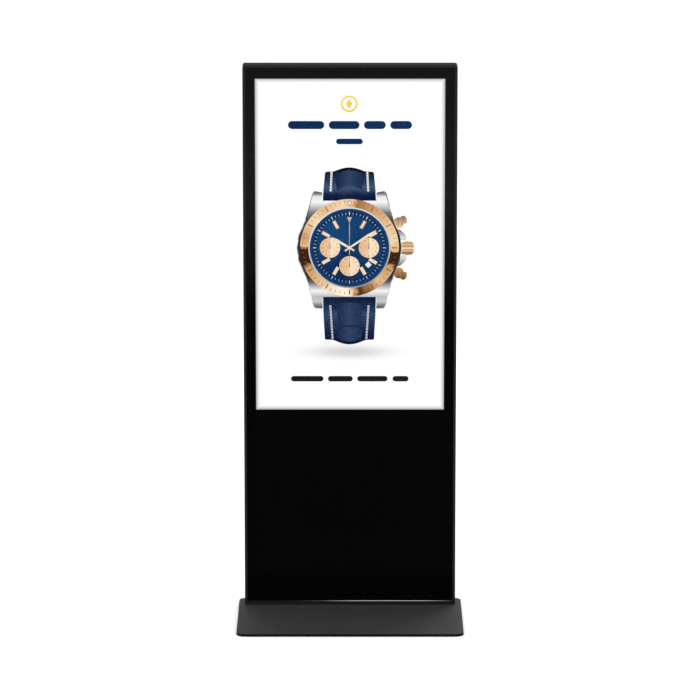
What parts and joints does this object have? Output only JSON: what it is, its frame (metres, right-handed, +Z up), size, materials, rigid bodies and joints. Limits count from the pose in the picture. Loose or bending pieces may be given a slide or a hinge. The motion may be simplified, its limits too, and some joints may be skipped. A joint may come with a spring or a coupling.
{
  "type": "touchscreen kiosk",
  "caption": "Free-standing portrait touchscreen kiosk: tall slim body with a full glass front on a flat floor plate, service door, switch and fans behind.",
  "frame": {"origin": "on the floor, under the middle of the base plate", "axes": "+Z up, the screen faces -Y, +X to the right as the viewer sees the screen"},
  "size_m": [0.813, 0.498, 2.001],
  "materials": {
    "frame_black": "satin powder coat",
    "base_coat": "fine textured powder coat",
    "pad_rubber": "matt",
    "zinc_steel": "zinc plated",
    "cover_screw_steel": "dark zinc plated",
    "galvanised_sheet": "galvanised",
    "clear_glass": "anti-reflective",
    "border_print": "printed on the glass",
    "clear_film": "clear",
    "foam_tape": "closed-cell foam",
    "board_green": "solder resist",
    "cable_black": "satin",
    "cable_grey": "satin",
    "module_black": "satin",
    "lit_cell": "matt, lit from behind",
    "diffuser_white": "matt",
    "strip_white": "white solder resist",
    "board_cover": "tin plated",
    "cover_coat": "fine textured powder coat",
    "lock_chrome": "polished",
    "black_plastic": "moulded",
    "contact_brass": "nickel plated",
    "rocker_red": "gloss",
    "supply_steel": "perforated sheet",
    "player_shell": "black anodised",
    "socket_steel": "nickel plated",
    "button_silver": "metallised",
    "cone_paper": "treated paper"
  },
  "bodies": {
    "cabinet": {"frame_left": "frame_black", "frame_right": "frame_black", "frame_top": "frame_black", "frame_bottom": "frame_black", "base_plate": "base_coat", "base_pads": "pad_rubber", "base_bolts": "zinc_steel", "base_nuts": "zinc_steel", "corner_screws": "zinc_steel", "display_screws": "zinc_steel", "structure_screws": "zinc_steel", "hinge_pins": "zinc_steel", "fan_guards": "zinc_steel", "cover_screws": "cover_screw_steel", "corner_brackets": "galvanised_sheet", "upright_left": "galvanised_sheet", "upright_right": "galvanised_sheet", "crossbar_upper": "galvanised_sheet", "crossbar_lower": "galvanised_sheet", "cover_rail": "galvanised_sheet", "equipment_plate": "galvanised_sheet", "frame_ties": "galvanised_sheet", "display_pan": "galvanised_sheet", "front_glass": "clear_glass", "black_border": "border_print", "touch_film": "clear_film", "glass_tape": "foam_tape", "display_foam": "foam_tape", "touch_controller": "board_green", "touch_cable": "cable_black", "power_lead": "cable_black", "display_cable": "cable_grey", "display_bezel": "module_black", "display_cell": "lit_cell", "diffuser_sheets": "diffuser_white", "backlight_strips": "strip_white", "timing_board": "board_cover", "rear_cover_upper": "cover_coat", "rear_cover_lower": "cover_coat", "door_frame": "cover_coat", "inlet_tray": "cover_coat", "cover_hinge_leaves": "cover_coat", "power_inlet": "black_plastic", "switch_housing": "black_plastic", "fan_frames": "black_plastic", "speaker_baskets": "black_plastic", "inlet_pins": "contact_brass", "power_supply": "supply_steel", "media_player": "player_shell", "player_sockets": "socket_steel", "speaker_cones": "cone_paper"},
    "door": {"service_door": "cover_coat", "door_hinge_leaves": "cover_coat", "lock_barrel": "lock_chrome", "lock_nut": "zinc_steel"},
    "lock": {"lock_plug": "lock_chrome"},
    "switch": {"rocker": "rocker_red"},
    "fan_left": {"fan_rotor_left": "black_plastic"},
    "fan_right": {"fan_rotor_right": "black_plastic"},
    "button": {"power_button": "button_silver"}
  },
  "joints": [
    {"name": "door_hinge", "type": "hinge", "parent": "cabinet", "child": "door", "pos_m": [-0.1895, 0.2145, 0.395], "axis": [0, 0, 1], "range_deg": [0, 110]},
    {"name": "lock_turn", "type": "hinge", "parent": "door", "child": "lock", "pos_m": [0.1635, 0.206, 0.395], "axis": [0, -1, 0], "range_deg": [0, 90]},
    {"name": "rocker_tilt", "type": "hinge", "parent": "cabinet", "child": "switch", "pos_m": [0.036, 0.186, 0.085], "axis": [1, 0, 0], "range_deg": [0, 24]},
    {"name": "fan_left_spin", "type": "hinge", "parent": "cabinet", "child": "fan_left", "pos_m": [-0.2805, 0.197, 0.16], "axis": [0, 1, 0], "continuous": true},
    {"name": "fan_right_spin", "type": "hinge", "parent": "cabinet", "child": "fan_right", "pos_m": [0.2805, 0.197, 0.16], "axis": [0, 1, 0], "continuous": true},
    {"name": "button_press", "type": "slide", "parent": "cabinet", "child": "button", "axis": [0, -1, 0], "range_m": [0, 0.0012], "stiffness_N_per_m": 400, "springref_m": -0.001}
  ]
}
